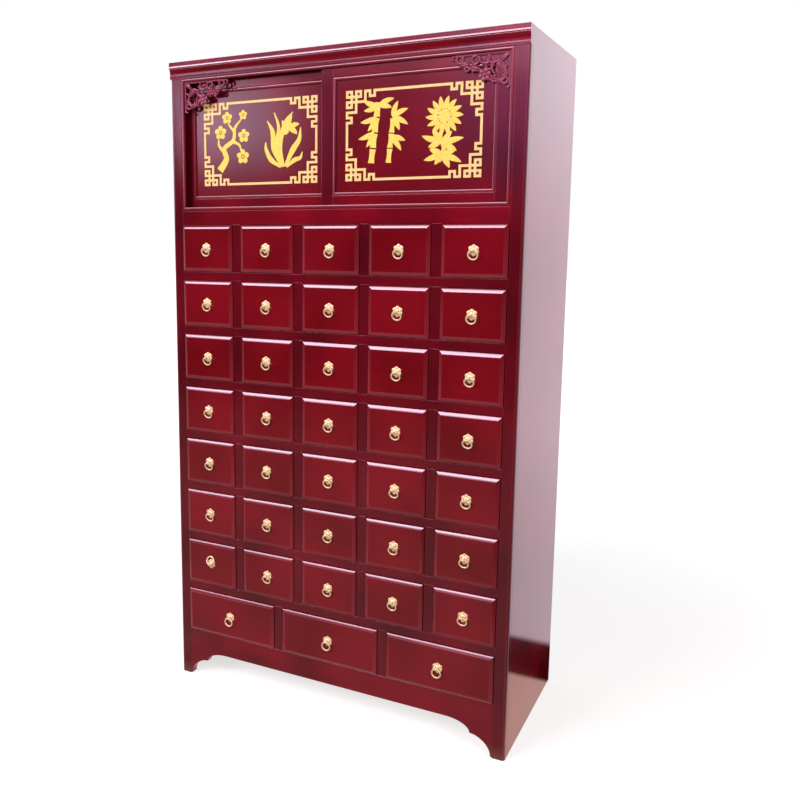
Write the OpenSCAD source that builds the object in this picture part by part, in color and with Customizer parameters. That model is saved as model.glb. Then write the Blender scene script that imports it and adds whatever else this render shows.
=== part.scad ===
// Chinese medicine cabinet in red lacquered wood.
// A case of boards with a face frame holds 35 small drawers, 3 wide drawers
// and, above them, a compartment with two sliding doors.
// Millimetres. The cabinet stands on z = 0, its front faces -y and +x is to
// the right of someone who faces it. The origin is at the middle of its base.

/* [Case] */
// Width over the two side boards
case_w = 1200; // [1150:10:1400]
// Depth from the back edge of the side boards to the face of the front frame
case_d = 575; // [560:5:640]
// Height from the floor to the top of the cornice
case_h = 2150; // [2130:5:2300]
// Thickness of the side boards, cross boards and partitions
board_t = 18; // [15:1:20]
// Thickness of the back panel
back_t = 9; // [5:1:12]
// Inset of the back panel from the back edge
back_inset = 6; // [2:1:12]

/* [Front frame] */
// Thickness of the posts, rails, muntins and apron
frame_t = 25; // [23:1:28]
// Width of the front posts
post_w = 40; // [36:1:46]
// Radius of the outer front edge of the posts
post_round = 9; // [4:1:12]
// Width of the upright muntins between drawers
muntin_w = 30; // [26:1:34]
// Height of the rails between drawers
rail_h = 27; // [25:1:29]
// Height of the rail between the top drawers and the doors
door_rail_h = 45; // [42:1:50]
// Height of the rail behind the cornice
head_rail_h = 52; // [50:1:58]

/* [Apron] */
// Height of the lower edge of the apron over the floor
apron_z = 98; // [90:1:110]
// Length of the bracket at each end of the apron
bracket_l = 150; // [130:5:180]
// Height of the cusp of the bracket over the floor
cusp_z = 61; // [50:1:70]
// Height of the tip of the bracket over the floor
tip_z = 3; // [1:1:10]

/* [Cornice] */
// Height of the cornice moulding
cornice_h = 54; // [50:1:58]
// How far the top of the cornice stands out from the frame
cornice_out = 8; // [6:0.5:12]
// Height of the flat band at the top of the cornice
cornice_band = 19; // [14:1:22]

/* [Drawers] */
// Height of the opening for a wide drawer
wide_h = 157; // [145:1:165]
// Height of the lowest drawer opening over the floor
base_z = 175; // [165:1:185]
// Gap round a drawer front in its opening
front_gap = 1.5; // [1:0.1:2]
// Depth of a drawer front behind the face of the frame
front_in = 17; // [12:1:20]
// How far the edge of a drawer front stands out from the frame
front_rim = 2.5; // [1.5:0.5:4]
// Width of the bevel round a drawer front
bevel_w = 12; // [8:1:18]
// Rise of the bevel round a drawer front
bevel_h = 5.5; // [4:0.5:8]
// Space between a drawer box and the back panel
box_clear = 43; // [35:1:120]
// Thickness of the sides and back of a drawer box
box_t = 10; // [8:1:14]
// Thickness of the bottom of a drawer box
box_bottom_t = 5; // [3:1:8]
// Height of the bottom over the lower edge of the sides
box_bottom_up = 5; // [2:1:10]
// How far the sides of a box stop below the top of the opening
box_drop = 20; // [12:1:40]
// Gap between a drawer box and each side of its opening
box_gap = 3; // [2:0.5:5]
// Gap between a drawer box and its runners
run_gap = 0.3; // [0.2:0.1:0.5]

/* [Pulls] */
// Radius to the tips of the six petals of the plate
plate_r = 17; // [15:0.5:20]
// Thickness of the petals of the plate
plate_t = 3; // [2:0.5:4]
// How far the domed middle of the plate stands out from a drawer front
dome_t = 7; // [5:0.5:7]
// Radius of the dome
dome_r = 10.5; // [8:0.5:11]
// Mean radius of the ring
ring_r = 14; // [12:0.5:17]
// Radius of the wire of the ring
wire_r = 2; // [1.5:0.1:2.2]
// Distance from a drawer front to the middle of the eye
eye_out = 12.5; // [12:0.1:13.5]
// Radius of the eye
eye_r = 4.5; // [4:0.1:4.8]
// Width of the eye
eye_w = 5; // [4:0.5:6]
// Clearance between the wire and the bore of the eye
eye_gap = 0.6; // [0.5:0.1:0.8]
// Height of the eye over the middle of a drawer front
pull_up = 2; // [0:1:6]
// Angle of the one ring that is turned up and leans on its front
raised_turn = 200; // [160:1:201]

/* [Doors] */
// Height of the opening for the doors
opening_h = 433; // [415:1:450]
// How far the two doors overlap when shut
door_overlap = 54; // [44:2:70]
// Thickness of a door
door_t = 18; // [16:1:20]
// Width of the flat face of a door's stiles
stile_w = 39; // [34:1:44]
// Height of the flat face of a door's rails
door_frame_h = 28; // [24:1:34]
// Width of the bead round a door panel
door_bead_w = 7; // [5:1:9]
// Depth of a panel behind the face of its door
panel_in = 6; // [5:1:8]
// Thickness of a panel
panel_t = 8; // [5:1:9]
// Depth of the right door behind the face of the frame
door_in = 8.5; // [8:0.5:10]
// Clearance between the two doors
pass_gap = 2.5; // [2:0.5:4]
// Left end of the left door to the side board
left_door_gap = 10; // [1:1:12]
// Right end of the right door to the post
right_door_gap = 10; // [1:1:12]
// Thickness of the tongues that run in the grooves
tongue_t = 7; // [5:1:9]
// Depth of the grooves
groove_d = 6; // [5:0.5:8]
// Clearance of a tongue in its groove
slide_gap = 0.4; // [0.3:0.1:0.6]
// Thickness of the lip behind the rear groove
lip_t = 9; // [6:1:14]

/* [Opening bead] */
// Width of the half round bead round the door opening
bead_w = 9; // [7:1:11]
// Width of the flat fillet between the bead and the frame
fillet_w = 4; // [2:1:5]
// How far the bead stands out from the frame
bead_out = 2; // [1:0.5:3]
// Depth of the bead behind the face of the frame
bead_in = 6; // [5.5:0.5:6]

/* [Gold fret] */
// Distance between the lines of the fret
fret_pitch = 15; // [12:0.5:18]
// Width of a line of the fret
fret_line = 7.5; // [5:0.5:8.5]
// Thickness of the fret
fret_t = 1.5; // [1:0.5:2.5]
// Space between the fret and the bead of the door
fret_margin = 35; // [25:1:45]

/* [Corner spandrels] */
// Length of a spandrel along the head of the opening
spandrel_w = 172; // [160:1:190]
// Thickness of the vines of a spandrel
vine_t = 5; // [3:0.5:5.5]
// Width of the vines
vine_w = 4.5; // [4.2:0.1:4.8]
// How far its flowers and leaves stand out from the vines
flower_up = 2; // [0.5:0.5:2]

/* [Hidden] */
$fn = 48;
rows = 7;
cols = 5;
wide_cols = 3;

// Glue line between the boards of one piece
glue = 0.05;
// The carving of a spandrel is drawn on a grid with 172 steps along the head
carving_step = spandrel_w / 172;
vine_r = vine_w / 2 / carving_step;
vine_end_r = 1.155 * vine_r;

// Depths, counted from the middle of the whole cabinet
front_reach = max(cornice_out, front_rim + bevel_h + eye_out + eye_r);
y_back = (case_d + front_reach) / 2;
y_face = y_back - case_d;
y_frame = y_face + frame_t;
y_panel = y_back - back_inset - back_t;

// Widths, each a distance from the middle plane
half_w = case_w / 2;
post_x = half_w - post_w;
wall_x = half_w - board_t;
small_w = (2 * post_x - (cols - 1) * muntin_w) / cols;
wide_w = (2 * post_x - (wide_cols - 1) * muntin_w) / wide_cols;

// Heights. The rows of small drawers share what the doors and the wide drawers leave.
head_z = case_h - head_rail_h;
door_z = head_z - opening_h;
rows_top = door_z - door_rail_h;
small_z = base_z + wide_h + rail_h;
small_h = (rows_top - small_z - (rows - 1) * rail_h) / rows;
row_pitch = small_h + rail_h;
runner_h = rail_h - board_t;
trim_w = bead_w + fillet_w;

// Length of a drawer box behind its front
box_l = y_panel - box_clear - y_face - front_in - glue;

// Sliding doors
door_w = (wall_x - left_door_gap + post_x - right_door_gap + door_overlap) / 2;
door_low = door_z + trim_w + slide_gap;
door_h = head_z - trim_w - slide_gap - door_low;
left_door_x = -wall_x + left_door_gap;
right_door_x = post_x - right_door_gap - door_w;
front_door_y = y_face + door_in;
rear_door_y = front_door_y + door_t + pass_gap;

lacquer = "#7a1220";
dark_lacquer = "#5c0c18";
raw_wood = "#c39a6b";
brass = "#d8bf7a";
gold = "#f0cf78";

function drawer_name(r, c) = str("drawer_r", r, "c", c);
function row_z(r) = small_z + (rows - r) * row_pitch;
function col_x(c) = (c - (cols + 1) / 2) * (small_w + muntin_w);
function wide_x(c) = (c - (wide_cols + 1) / 2) * (wide_w + muntin_w);

// A block given by its lowest and highest x, y and z
module slab(x, y, z) {
    translate([x[0], y[0], z[0]]) cube([x[1] - x[0], y[1] - y[0], z[1] - z[0]]);
}

// A flat shape in x and z, given a depth from y0 towards the back
module upright(y0, depth) {
    translate([0, y0 + depth, 0]) rotate([90, 0, 0]) linear_extrude(depth) children();
}

// Both halves of a pair, left and right
module pair() {
    children();
    mirror([1, 0, 0]) children();
}

// Case

module side_boards() {
    color(lacquer) pair() slab([wall_x, half_w], [y_frame, y_back], [0, case_h]);
}

// Boards from side to side: under and over the wide drawers, compartment floor, top
module cross_boards() {
    tops = [base_z - runner_h, small_z - runner_h, door_z, case_h];
    color(dark_lacquer)
        for (top = tops)
            slab([-wall_x, wall_x], [y_frame, y_panel], [top - board_t, top]);
}

module back_panel() {
    low = base_z - runner_h - board_t;
    color(dark_lacquer) slab([-wall_x, wall_x], [y_panel, y_panel + back_t], [low, case_h]);
}

// Upright boards behind the muntins
module partitions() {
    color(raw_wood) {
        for (c = [1:cols - 1]) {
            x = (col_x(c) + col_x(c + 1)) / 2;
            slab([x - board_t / 2, x + board_t / 2], [y_frame, y_panel],
                 [small_z - runner_h, door_z - board_t]);
        }
        for (c = [1:wide_cols - 1]) {
            x = (wide_x(c) + wide_x(c + 1)) / 2;
            slab([x - board_t / 2, x + board_t / 2], [y_frame, y_panel],
                 [base_z - runner_h, small_z - runner_h - board_t]);
        }
    }
}

// The two runners of one drawer, from the walls of its bay to under the sides of its box
module runner_pair(x, z, w, left_wall, right_wall) {
    inner = w / 2 - box_gap - box_t - 1;
    slab([left_wall, x - inner], [y_frame, y_panel], [z - runner_h, z]);
    slab([x + inner, right_wall], [y_frame, y_panel], [z - runner_h, z]);
}

module bay_runners(x, z, w, first, last) {
    reach = w / 2 + muntin_w / 2 - board_t / 2;
    runner_pair(x, z, w, first ? -wall_x : x - reach, last ? wall_x : x + reach);
}

module drawer_runners() {
    color(raw_wood) {
        for (r = [1:rows], c = [1:cols])
            bay_runners(col_x(c), row_z(r), small_w, c == 1, c == cols);
        for (c = [1:wide_cols])
            bay_runners(wide_x(c), base_z, wide_w, c == 1, c == wide_cols);
    }
}

// Front frame

// Section of a post, its outer front edge rounded
module post_section() {
    difference() {
        square([post_w, frame_t]);
        translate([post_w - post_round, 0]) square(post_round);
    }
    translate([post_w - post_round, post_round]) circle(post_round);
}

module front_posts() {
    low = case_h - cornice_h;
    color(lacquer) pair() translate([post_x, y_face, 0]) {
        linear_extrude(low) post_section();
        translate([0, 0, low]) linear_extrude(cornice_h) square([post_w, frame_t]);
    }
}

module front_rails() {
    x = [-post_x, post_x];
    y = [y_face, y_frame];
    color(lacquer) {
        for (r = [1:rows]) slab(x, y, [row_z(r) - rail_h, row_z(r)]);
        slab(x, y, [rows_top, door_z]);
        slab(x, y, [head_z, case_h]);
    }
}

module front_muntins() {
    color(lacquer) {
        for (r = [1:rows], c = [1:cols - 1]) {
            x = (col_x(c) + col_x(c + 1)) / 2;
            slab([x - muntin_w / 2, x + muntin_w / 2], [y_face, y_frame],
                 [row_z(r), row_z(r) + small_h]);
        }
        for (c = [1:wide_cols - 1]) {
            x = (wide_x(c) + wide_x(c + 1)) / 2;
            slab([x - muntin_w / 2, x + muntin_w / 2], [y_face, y_frame],
                 [base_z, base_z + wide_h]);
        }
    }
}

// An arch of an ellipse that rises steeply from its foot. A turn of 90 ends it at its crown.
function arch(foot, crown, turn) =
    [for (i = [0:10]) let (a = turn * i / 10)
        [foot[0] + (crown[0] - foot[0]) * (1 - cos(a)), foot[1] + (crown[1] - foot[1]) * sin(a)]];

// The edge of a bracket, from the post: two arches that meet at a small flat cusp
function bracket_edge() = concat(
    arch([bracket_l * 0.03, tip_z], [bracket_l * 0.60, cusp_z * 1.08], 67),
    arch([bracket_l * 0.48, cusp_z + 2], [bracket_l, apron_z], 90)
);

module front_apron() {
    edge = [for (p = bracket_edge()) [p[0] - post_x, p[1]]];
    left = concat([[-post_x, base_z], [-post_x, tip_z]], edge);
    last = len(left) - 1;
    right = [for (i = [0:last]) [-left[last - i][0], left[last - i][1]]];
    color(lacquer) upright(y_face, frame_t) polygon(concat(left, right));
}

// Cornice section: y is the distance out from the frame, the second value the height.
// A flat band over a small bead, a hollow that draws in, and two fillets.
function cornice_section() =
    let (bead_r = 2.5, foot = 3.5, hollow_top = cornice_h - cornice_band - 2 * bead_r,
         hollow_foot = 10, top_out = cornice_out - 3)
    concat(
        [[0, 0], [foot - 1.5, 0], [foot - 1.5, 4], [foot - 2.5, 4], [foot - 2.5, 5.5],
         [foot, 5.5], [foot, hollow_foot]],
        [for (i = [0:8]) let (a = 90 * i / 8)
            [foot - 2 + (top_out - foot + 2) * (1 - cos(a)),
             hollow_foot + (hollow_top - hollow_foot) * sin(a)]],
        [for (i = [1:7]) let (a = -90 + 180 * i / 8)
            [top_out + bead_r * cos(a), hollow_top + bead_r + bead_r * sin(a)]],
        [[top_out, cornice_h - cornice_band], [cornice_out, cornice_h - cornice_band],
         [cornice_out, cornice_h], [0, cornice_h]]
    );

module cornice() {
    color(lacquer) translate([-half_w, y_face, case_h - cornice_h])
        rotate([90, 0, 90]) linear_extrude(case_w)
            polygon([for (p = cornice_section()) [-p[0], p[1]]]);
}

// A run of moulding with its section in x and y, its ends cut at 45 degrees to meet the
// next run on the side of +x
module mitred_run(length, reach) {
    cut = 3 * reach;
    difference() {
        linear_extrude(length) children();
        translate([-glue, -cut / 2, 0]) rotate([0, -45, 0]) translate([-cut, 0, -cut])
            cube([3 * cut, 2 * cut, cut]);
        translate([-glue, -cut / 2, length]) rotate([0, 45, 0]) translate([-cut, 0, 0])
            cube([3 * cut, 2 * cut, cut]);
    }
}

// Moulding round the inside of an upright rectangle, standing out towards the front
module mitred_frame(w, h, reach) {
    for (side = [0, 1])
        translate([side * w, 0, 0]) mirror([side, 0, 0]) mirror([0, 1, 0])
            mitred_run(h, reach) children();
    translate([0, 0, h]) rotate([0, 90, 0]) mirror([0, 1, 0]) mitred_run(w, reach) children();
    translate([w, 0, 0]) rotate([0, -90, 0]) mirror([0, 1, 0]) mitred_run(w, reach) children();
}

// A strip with a half round face, its back at y = 0
module half_round(w, depth) {
    square([w, depth - w / 2]);
    intersection() {
        square([w, depth]);
        translate([w / 2, depth - w / 2]) circle(w / 2);
    }
}

// The fillet lies a little behind the face of the frame, and the bead stands out of it
module opening_bead() {
    color(lacquer) translate([-post_x, y_face + bead_in, door_z])
        mitred_frame(2 * post_x, head_z - door_z, trim_w) {
            square([fillet_w + bead_w / 2, bead_in - 1]);
            translate([fillet_w, 0]) half_round(bead_w, bead_in + bead_out);
        }
}

// Doors

// Strips that leave two grooves, on the sill or the head. z0 is the face of the rail, and up
// is 1 for the sill and -1 for the head.
module track(z0, up) {
    front_mid = front_door_y + door_t / 2;
    rear_mid = rear_door_y + door_t / 2;
    half_groove = tongue_t / 2 + slide_gap;
    y_end = rear_mid + half_groove + lip_t;
    bed = trim_w - groove_d;
    lip_z = [bed + glue, trim_w];
    translate([0, 0, z0]) mirror([0, 0, up > 0 ? 0 : 1]) {
        slab([-post_x, post_x], [y_face + bead_in, y_frame - glue], [0, bed]);
        slab([-wall_x, wall_x], [y_frame, y_end], [0, bed]);
        slab([-post_x, post_x], [y_face + bead_in, front_mid - half_groove], lip_z);
        slab([-post_x, post_x], [front_mid + half_groove, rear_mid - half_groove], lip_z);
        slab([-wall_x, wall_x], [rear_mid + half_groove, y_end], lip_z);
    }
}

module door_tracks() {
    color(dark_lacquer) {
        track(door_z, 1);
        track(head_z, -1);
    }
}

// Stiles, rails, the tongues that run in the grooves, and the bead round the panel
module door_frame(x, y) {
    top = door_low + door_h;
    mid = y + door_t / 2;
    rail_x = [x + stile_w + glue, x + door_w - stile_w - glue];
    for (x0 = [x, x + door_w - stile_w])
        slab([x0, x0 + stile_w], [y, y + door_t], [door_low, top]);
    for (z0 = [door_low, top - door_frame_h])
        slab(rail_x, [y, y + door_t], [z0, z0 + door_frame_h]);
    slab([x, x + door_w], [mid - tongue_t / 2, mid + tongue_t / 2], [door_low - groove_d, door_low - glue]);
    slab([x, x + door_w], [mid - tongue_t / 2, mid + tongue_t / 2], [top + glue, top + groove_d]);
    translate([x + stile_w + glue, y + panel_in, door_low + door_frame_h + glue])
        mitred_frame(door_w - 2 * stile_w - 2 * glue, door_h - 2 * door_frame_h - 2 * glue, door_bead_w)
            half_round(door_bead_w, panel_in);
}

module door_panel(x, y) {
    slab([x + stile_w, x + door_w - stile_w], [y + panel_in, y + panel_in + panel_t],
         [door_low + door_frame_h, door_low + door_h - door_frame_h]);
}

// A line of the fret between two points of its grid, level or upright
module fret_run(a, b) {
    low = [min(a[0], b[0]), min(a[1], b[1])];
    high = [max(a[0], b[0]), max(a[1], b[1])];
    translate(low) translate(-[fret_line, fret_line] / 2)
        square(high - low + [fret_line, fret_line]);
}

// One arm of a corner: two loops of the knot and the stepped key that leads out of it
module fret_arm() {
    points = [[[0, 0], [1, 0]], [[2, 0], [3, 0]], [[3, 0], [3, 1]], [[0, 1], [3, 1]],
              [[0, 2], [4, 2]], [[4, 2], [4, 0]], [[4, 0], [5, 0]], [[5, 0], [5, 1]],
              [[5, 1], [6, 1]], [[6, 1], [6, 0]]];
    for (s = points) fret_run(s[0] * fret_pitch, s[1] * fret_pitch);
}

// A quarter of the fret, with its corner at the origin and its long lines up to the middles
module fret_quarter(w, h) {
    fret_arm();
    mirror([1, -1, 0]) fret_arm();
    fret_run([6 * fret_pitch, 0], [w / 2, 0]);
    fret_run([0, 6 * fret_pitch], [0, h / 2]);
}

module door_fret(x, y) {
    edge = door_bead_w + fret_margin + fret_line / 2;
    w = door_w - 2 * (stile_w + edge);
    h = door_h - 2 * (door_frame_h + edge);
    mid_x = x + door_w / 2;
    mid_z = door_low + door_h / 2;
    upright(y + panel_in - fret_t, fret_t)
        for (sx = [0, 1], sz = [0, 1])
            translate([mid_x, mid_z]) mirror([sx, 0, 0]) mirror([0, sz, 0])
                translate([-w / 2, -h / 2]) fret_quarter(w, h);
}

// Carved spandrels, drawn in the corner of x and -z

module vine_ring(x, z, r) {
    translate([x, z]) difference() {
        circle(r);
        circle(r - 2 * vine_r);
    }
}

// A vine along an arc with rounded ends
module vine(x, z, r, from, to) {
    wedge = [for (i = [0:6]) let (a = from + (to - from) * i / 6) 2 * r * [cos(a), sin(a)]];
    translate([x, z]) {
        intersection() {
            difference() {
                circle(r + vine_r);
                circle(r - vine_r);
            }
            polygon(concat([[0, 0]], wedge));
        }
        for (a = [from, to]) rotate(a) translate([r, 0]) circle(vine_end_r);
    }
}

// A blossom of round petals
module blossom(x, z, r, petals) {
    translate([x, z]) {
        circle(r * 0.62);
        for (i = [0:petals - 1])
            rotate((i + 0.25) * 360 / petals) translate([r * 0.66, 0]) circle(r * 0.34);
    }
}

// A pointed leaf from x, z, the overlap of two discs
module leaf(x, z, length, width, turn) {
    r = (length * length + width * width) / (4 * width);
    translate([x, z]) rotate(turn) intersection() {
        translate([length / 2, r - width / 2]) circle(r);
        translate([length / 2, width / 2 - r]) circle(r);
    }
}

// Strips along the head and the side, and the vines that scroll between them
module spandrel_vines() {
    translate([0, -5]) square([164, 5]);
    translate([0, -92]) square([5, 92]);
    vine(163, -9.5, 6.5, -70, 80);
    vine_ring(147, -14, 13);
    vine(130, -12.5, 9, -60, 80);
    vine_ring(126, -40, 9);
    vine_ring(101, -17, 14);
    vine(76, -14, 14, 130, 330);
    vine_ring(62, -36, 13);
    vine(38, -42, 17, -70, 200);
    vine(6, -48, 11, -90, 90);
    vine(27, -64, 12, 110, 330);
    vine_ring(18, -78, 12);
    vine(9, -91, 6, 180, 300);
}

module spandrel_flowers() {
    blossom(74, -60, 19, 6);
    blossom(108, -38, 13, 5);
    blossom(50, -71, 12, 5);
    leaf(84, -47, 36, 15, 12);
    leaf(112, -26, 38, 12, -8);
    leaf(23, -49, 30, 11, 48);
    leaf(3, -3, 37, 12, -44);
    leaf(66, -26, 26, 10, 38);
    leaf(25, -86, 36, 11, 22);
    leaf(5, -60, 26, 9, -28);
}

module corner_spandrels() {
    y_back_face = front_door_y - slide_gap;
    color(lacquer) pair() translate([-post_x + trim_w, 0, head_z - trim_w]) {
        upright(y_back_face - vine_t, vine_t) scale(carving_step) spandrel_vines();
        upright(y_back_face - vine_t - flower_up, vine_t + flower_up)
            scale(carving_step) spandrel_flowers();
    }
}

// Drawers

// A front with a mitred bevel round its face: the shape seen from the side, run along the
// width, where it meets the shape seen from above, run up the height
module bevelled_front(w, h) {
    tip = front_rim + bevel_h;
    intersection() {
        translate([-w / 2, 0, 0]) rotate([90, 0, 90]) linear_extrude(w)
            polygon([[front_in, 0], [-front_rim, 0], [-tip, bevel_w],
                     [-tip, h - bevel_w], [-front_rim, h], [front_in, h]]);
        linear_extrude(h)
            polygon([[-w / 2, front_in], [-w / 2, -front_rim], [-w / 2 + bevel_w, -tip],
                     [w / 2 - bevel_w, -tip], [w / 2, -front_rim], [w / 2, front_in]]);
    }
}

// Sides, back and bottom of a drawer box. z = 0 is the top of the runners.
module drawer_box(w, h) {
    half = w / 2 - box_gap;
    inner = half - box_t - glue;
    top = h - box_drop;
    y_start = front_in + glue;
    y_end = y_start + box_l;
    floor_z = run_gap + box_bottom_up;
    pair() slab([half - box_t, half], [y_start, y_end], [run_gap, top]);
    slab([-inner, inner], [y_start, y_end], [floor_z, floor_z + box_bottom_t]);
    slab([-inner, inner], [y_end - box_t, y_end], [floor_z + box_bottom_t + glue, top]);
}

// The plate of a pull, a blossom of six petals with a domed middle, and the eye that stands on
// it. y = 0 is the face of the drawer front.
module pull_plate() {
    petal_r = plate_r / 3;
    translate([0, -glue, 0]) rotate([90, 0, 0]) {
        linear_extrude(plate_t - glue) {
            circle(plate_r - petal_r);
            for (i = [0:5]) rotate(30 + 60 * i) translate([plate_r - petal_r, 0]) circle(petal_r);
        }
        cylinder(h = dome_t - glue, r1 = dome_r, r2 = 0.6 * dome_r);
    }
    difference() {
        union() {
            translate([0, -eye_out, 0]) rotate([0, 90, 0])
                cylinder(h = eye_w, r = eye_r, center = true);
            slab([-eye_w / 2, eye_w / 2], [-eye_out, -dome_t - glue], [-eye_r * 0.7, eye_r * 0.7]);
        }
        translate([0, -eye_out, 0]) rotate([0, 90, 0])
            cylinder(h = 2 * eye_w, r = wire_r + eye_gap, center = true);
    }
}

// The ring in the eye, hanging at 0 and standing up at 180
module pull_ring(turn = 0) {
    translate([0, -eye_out, 0]) rotate([-turn, 0, 0]) translate([0, 0, -ring_r])
        rotate([90, 0, 0]) rotate_extrude() translate([ring_r, 0]) circle(wire_r);
}

// Puts a pull on the middle of the drawer front whose opening starts at x, z
module on_front(x, z, h) {
    translate([x, y_face - front_rim - bevel_h, z + h / 2 + pull_up]) children();
}

module drawer(x, z, w, h) {
    translate([x, y_face, z]) {
        color(lacquer) translate([0, 0, front_gap]) bevelled_front(w - 2 * front_gap, h - 2 * front_gap);
        color(raw_wood) drawer_box(w, h);
    }
    color(brass) on_front(x, z, h) pull_plate();
}

module small_drawer(r, c) {
    drawer(col_x(c), row_z(r), small_w, small_h);
    turn = r == rows && c == 1 ? raised_turn : 0;
    color(brass) on_front(col_x(c), row_z(r), small_h) pull_ring(turn);
}

module wide_drawer(c) {
    drawer(wide_x(c), base_z, wide_w, wide_h);
}

module wide_ring(c) {
    color(brass) on_front(wide_x(c), base_z, wide_h) pull_ring();
}

side_boards();
cross_boards();
back_panel();
partitions();
drawer_runners();
front_posts();
front_rails();
front_muntins();
front_apron();
cornice();
opening_bead();
door_tracks();
corner_spandrels();
color(lacquer) door_frame(left_door_x, rear_door_y);  // left_door_frame
color(dark_lacquer) door_panel(left_door_x, rear_door_y);  // left_door_panel
color(gold) door_fret(left_door_x, rear_door_y);  // left_door_fret
color(lacquer) door_frame(right_door_x, front_door_y);  // right_door_frame
color(dark_lacquer) door_panel(right_door_x, front_door_y);  // right_door_panel
color(gold) door_fret(right_door_x, front_door_y);  // right_door_fret
for (r = [1:rows], c = [1:cols])
    small_drawer(r, c);
for (c = [1:wide_cols])
    wide_drawer(c);
for (c = [1:wide_cols])
    wide_ring(c);
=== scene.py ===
import math

import bmesh
import bpy
import numpy as np
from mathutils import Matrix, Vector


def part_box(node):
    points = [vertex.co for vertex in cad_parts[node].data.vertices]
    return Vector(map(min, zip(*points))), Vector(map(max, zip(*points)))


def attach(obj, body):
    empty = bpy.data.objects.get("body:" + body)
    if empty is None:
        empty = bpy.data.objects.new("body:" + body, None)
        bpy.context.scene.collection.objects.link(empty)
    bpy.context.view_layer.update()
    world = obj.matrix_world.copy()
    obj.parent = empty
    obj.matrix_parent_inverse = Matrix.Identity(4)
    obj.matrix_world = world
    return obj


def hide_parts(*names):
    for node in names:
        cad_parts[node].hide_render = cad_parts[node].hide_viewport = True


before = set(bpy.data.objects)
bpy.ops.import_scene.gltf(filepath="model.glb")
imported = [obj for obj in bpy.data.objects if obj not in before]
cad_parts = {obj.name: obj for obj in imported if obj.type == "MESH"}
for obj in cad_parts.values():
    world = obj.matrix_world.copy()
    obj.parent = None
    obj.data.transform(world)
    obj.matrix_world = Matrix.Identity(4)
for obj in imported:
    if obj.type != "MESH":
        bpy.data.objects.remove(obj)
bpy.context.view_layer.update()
mm = 0.001

# Camera
# The photograph is taken at standing eye height, from the right of the cabinet, with the picture
# cropped off the middle of the lens. The shift stands for that crop.
camera_at = (1.2457, -2.7533, 1.588)
camera_turn = 0.5
camera_dip = 0.152
camera_data = bpy.data.cameras.new("camera")
camera_data.sensor_width = 36
camera_data.lens = 39.82
camera_data.shift_x = 0.125
camera_data.shift_y = -0.0375
camera = bpy.data.objects.new("camera", camera_data)
camera.location = camera_at
camera.rotation_euler = (math.pi / 2 - camera_dip, 0, camera_turn)
bpy.context.scene.collection.objects.link(camera)
bpy.context.scene.camera = camera
bpy.context.scene.view_settings.view_transform = "Standard"


# Studio
# Two soft boxes light the cabinet from the front, a large one on the left and a smaller one on the
# right. The lacquer mirrors neither: what it mirrors is painted on the world and on the floor.
def linear(hex_colour):
    """The linear colour of an sRGB hex value: each channel c is c / 12.92 where it is dark, and
    ((c + 0.055) / 1.055) to the power 2.4 elsewhere."""
    srgb = np.array([int(hex_colour[i:i + 2], 16) / 255 for i in (1, 3, 5)])
    rgb = np.where(srgb <= 0.04045, srgb / 12.92, ((srgb + 0.055) / 1.055) ** 2.4)
    return (*rgb.tolist(), 1.0)


def add_node(tree, kind, settings=None, inputs=None):
    """Adds one node: settings are its own properties, and inputs maps a socket's name or number to
    a value or to the output that feeds it."""
    made = tree.nodes.new(kind)
    for key, value in (settings or {}).items():
        setattr(made, key, value)
    for key, value in (inputs or {}).items():
        if isinstance(value, bpy.types.NodeSocket):
            tree.links.new(value, made.inputs[key])
        else:
            made.inputs[key].default_value = value
    return made


def soft_box(name, at, towards, size, radiance, colour):
    """A rectangular lamp that neither the camera nor the lacquer sees. Its power is four times its
    area times the radiance of its face."""
    lamp = bpy.data.lights.new(name, "AREA")
    lamp.shape = "RECTANGLE"
    lamp.size, lamp.size_y = size
    lamp.energy = 4 * size[0] * size[1] * radiance
    lamp.color = linear(colour)[:3]
    box = bpy.data.objects.new(name, lamp)
    x, y, z = np.array(towards) - np.array(at)
    box.location = at
    box.rotation_euler = (math.acos(-z / math.hypot(x, y, z)), 0, math.atan2(x, -y) + math.pi)
    box.visible_camera = False
    box.visible_glossy = False
    bpy.context.scene.collection.objects.link(box)


soft_box("front_left", at=(-2.3, -4.3, 3.2), towards=(0, -0.3, 1.1), size=(3.2, 2.2),
         radiance=9.0, colour="#fff4f6")
soft_box("front_right", at=(3.6, -3.4, 3.4), towards=(0, 0, 1.0), size=(1.6, 1.6),
         radiance=9.0, colour="#fffaf6")


def faded(tree, *parts, curve="SMOOTHSTEP"):
    """The product of its parts. A part is a value, or an edge (value, start, end, low, high): a
    step along the curve from low, or 0, where the value is at start, to high, or 1, at end."""
    result = None
    for part in parts:
        if isinstance(part, tuple):
            part = add_node(tree, "ShaderNodeMapRange", {"interpolation_type": curve},
                            dict(enumerate(part))).outputs[0]
        result = part if result is None else add_node(
            tree, "ShaderNodeMath", {"operation": "MULTIPLY"}, {0: result, 1: part}).outputs[0]
    return result


def layered(tree, ground, *coats, kind="RGBA", curve="SMOOTHSTEP"):
    """Colours, or values for the kind FLOAT, laid over a ground. Each coat is (share, colour), and
    hides what lies under it by its share, a value or an edge. A colour is hex or an output."""
    below, above, out = (6, 7, 2) if kind == "RGBA" else (2, 3, 0)
    for share, coat in coats:
        under, over = (linear(c) if isinstance(c, str) else c for c in (ground, coat))
        ground = add_node(tree, "ShaderNodeMix", {"data_type": kind}, {
            0: faded(tree, share, curve=curve), below: under, above: over}).outputs[out]
    return ground


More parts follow.
